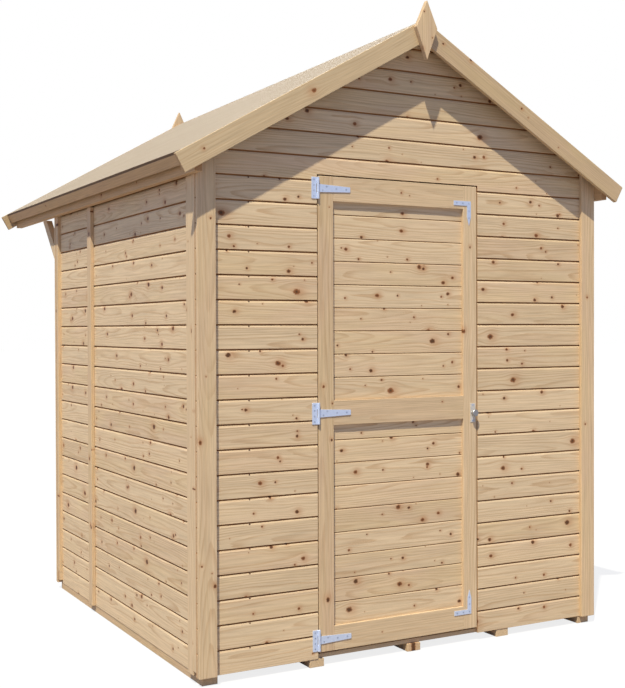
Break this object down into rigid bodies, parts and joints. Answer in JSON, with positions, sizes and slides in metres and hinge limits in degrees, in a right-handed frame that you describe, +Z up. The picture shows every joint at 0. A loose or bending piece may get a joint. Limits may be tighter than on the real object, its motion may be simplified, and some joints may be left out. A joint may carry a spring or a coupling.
{
  "type": "garden shed",
  "caption": "Small timber garden shed with an apex roof, boarded walls, a long rear roof overhang on struts and one hinged boarded door.",
  "frame": {"origin": "on the ground, under the middle of the shed's box", "axes": "+Z up, the door faces -Y, +X to the right of someone who looks at the door"},
  "size_m": [2.0386, 2.512, 2.507],
  "materials": {
    "wall_boards": "bare knotty pine boards with grooves",
    "planed_timber": "bare planed pine",
    "floor_timber": "bare sawn pine",
    "roof_board": "smooth pale building board",
    "zinc_plate": "bright zinc plate",
    "steel_knob": "dull steel"
  },
  "bodies": {
    "shed": {"floor_bearers": "floor_timber", "floor_deck": "floor_timber", "front_wall_left": "wall_boards", "front_wall_right": "wall_boards", "front_gable": "wall_boards", "back_wall": "wall_boards", "back_gable": "wall_boards", "left_wall_front": "wall_boards", "left_wall_rear": "wall_boards", "right_wall_front": "wall_boards", "right_wall_rear": "wall_boards", "front_studs": "planed_timber", "front_rails": "planed_timber", "back_studs": "planed_timber", "back_rails": "planed_timber", "left_studs": "planed_timber", "left_rails": "planed_timber", "right_studs": "planed_timber", "right_rails": "planed_timber", "front_corner_boards": "planed_timber", "back_corner_boards": "planed_timber", "left_joint_strips": "planed_timber", "right_joint_strips": "planed_timber", "door_stops": "planed_timber", "roof_sheet_left": "roof_board", "roof_sheet_right": "roof_board", "eaves_rail_left": "planed_timber", "eaves_rail_right": "planed_timber", "ridge_beam": "planed_timber", "roof_purlin_left": "planed_timber", "roof_purlin_right": "planed_timber", "eave_fascia_left": "planed_timber", "eave_fascia_right": "planed_timber", "front_bargeboards": "planed_timber", "back_bargeboards": "planed_timber", "front_finial": "planed_timber", "back_finial": "planed_timber", "rear_struts": "planed_timber", "hinge_plates": "zinc_plate"},
    "door": {"door_stiles": "planed_timber", "door_rails": "planed_timber", "door_panel": "wall_boards", "hinge_straps": "zinc_plate", "corner_brackets": "zinc_plate", "door_knob": "steel_knob"}
  },
  "joints": [
    {"name": "door_hinge", "type": "hinge", "parent": "shed", "child": "door", "pos_m": [-0.4265, -1.165, 0.94], "axis": [0, 0, -1], "range_deg": [0, 165]}
  ]
}
